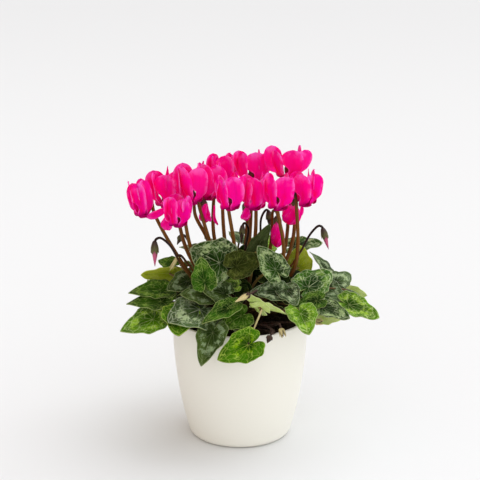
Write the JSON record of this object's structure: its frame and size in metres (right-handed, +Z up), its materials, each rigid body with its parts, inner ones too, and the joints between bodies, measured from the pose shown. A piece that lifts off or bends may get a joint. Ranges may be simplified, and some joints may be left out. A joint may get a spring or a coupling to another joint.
{
  "type": "potted cyclamen",
  "caption": "Cyclamen in a plain round pot: marbled heart-shaped leaves on stalks round the rim, with nodding swept-back blooms and buds on hooked stalks above.",
  "frame": {"origin": "centre of the pot's flat underside", "axes": "+Z up the pot's axis, -Y towards the side that the picture shows, +X to its right"},
  "size_m": [0.2537, 0.2119, 0.2882],
  "materials": {
    "glaze": "satin",
    "earth": "matte",
    "stalk": "satin",
    "leaf": "satin",
    "petal": "matte"
  },
  "bodies": {
    "root": {"pot": "glaze", "soil": "earth", "crown": "stalk", "leaf_left_low": "leaf", "leaf_left_mid": "leaf", "leaf_left_pale": "leaf", "leaf_left_dark": "leaf", "leaf_left_pointed": "leaf", "leaf_silver": "leaf", "leaf_round": "leaf", "leaf_crest_left": "leaf", "leaf_behind_left": "leaf", "leaf_olive": "leaf", "leaf_crest_mid": "leaf", "leaf_upright": "leaf", "leaf_right_rear": "leaf", "leaf_lime": "leaf", "leaf_right_edge": "leaf", "leaf_bright": "leaf", "leaf_right_far": "leaf", "leaf_right_silver": "leaf", "leaf_right_low": "leaf", "leaf_right_front": "leaf", "leaf_front_right": "leaf", "leaf_curled": "leaf", "leaf_center_silver": "leaf", "leaf_front_left": "leaf", "leaf_front": "leaf", "leaf_long": "leaf", "leaf_center_left": "leaf", "leaf_rear_low_1": "leaf", "leaf_rear_low_2": "leaf", "leaf_rear_low_3": "leaf", "leaf_rear_low_4": "leaf", "leaf_rear_low_5": "leaf", "leaf_rear_low_6": "leaf", "leaf_rear_mid_1": "leaf", "leaf_rear_mid_2": "leaf", "leaf_rear_mid_3": "leaf", "leaf_rear_mid_4": "leaf", "leaf_rear_mid_5": "leaf", "leaf_rear_high_1": "leaf", "leaf_rear_high_2": "leaf", "leaf_rear_high_3": "leaf", "bloom_1": "petal", "bloom_2": "petal", "bloom_3": "petal", "bloom_4": "petal", "bloom_5": "petal", "bloom_6": "petal", "bloom_7": "petal", "bloom_8": "petal", "bloom_9": "petal", "bloom_10": "petal", "bloom_11": "petal", "bloom_12": "petal", "bloom_13": "petal", "bloom_14": "petal", "bloom_15": "petal", "bloom_16": "petal"}
  },
  "joints": []
}
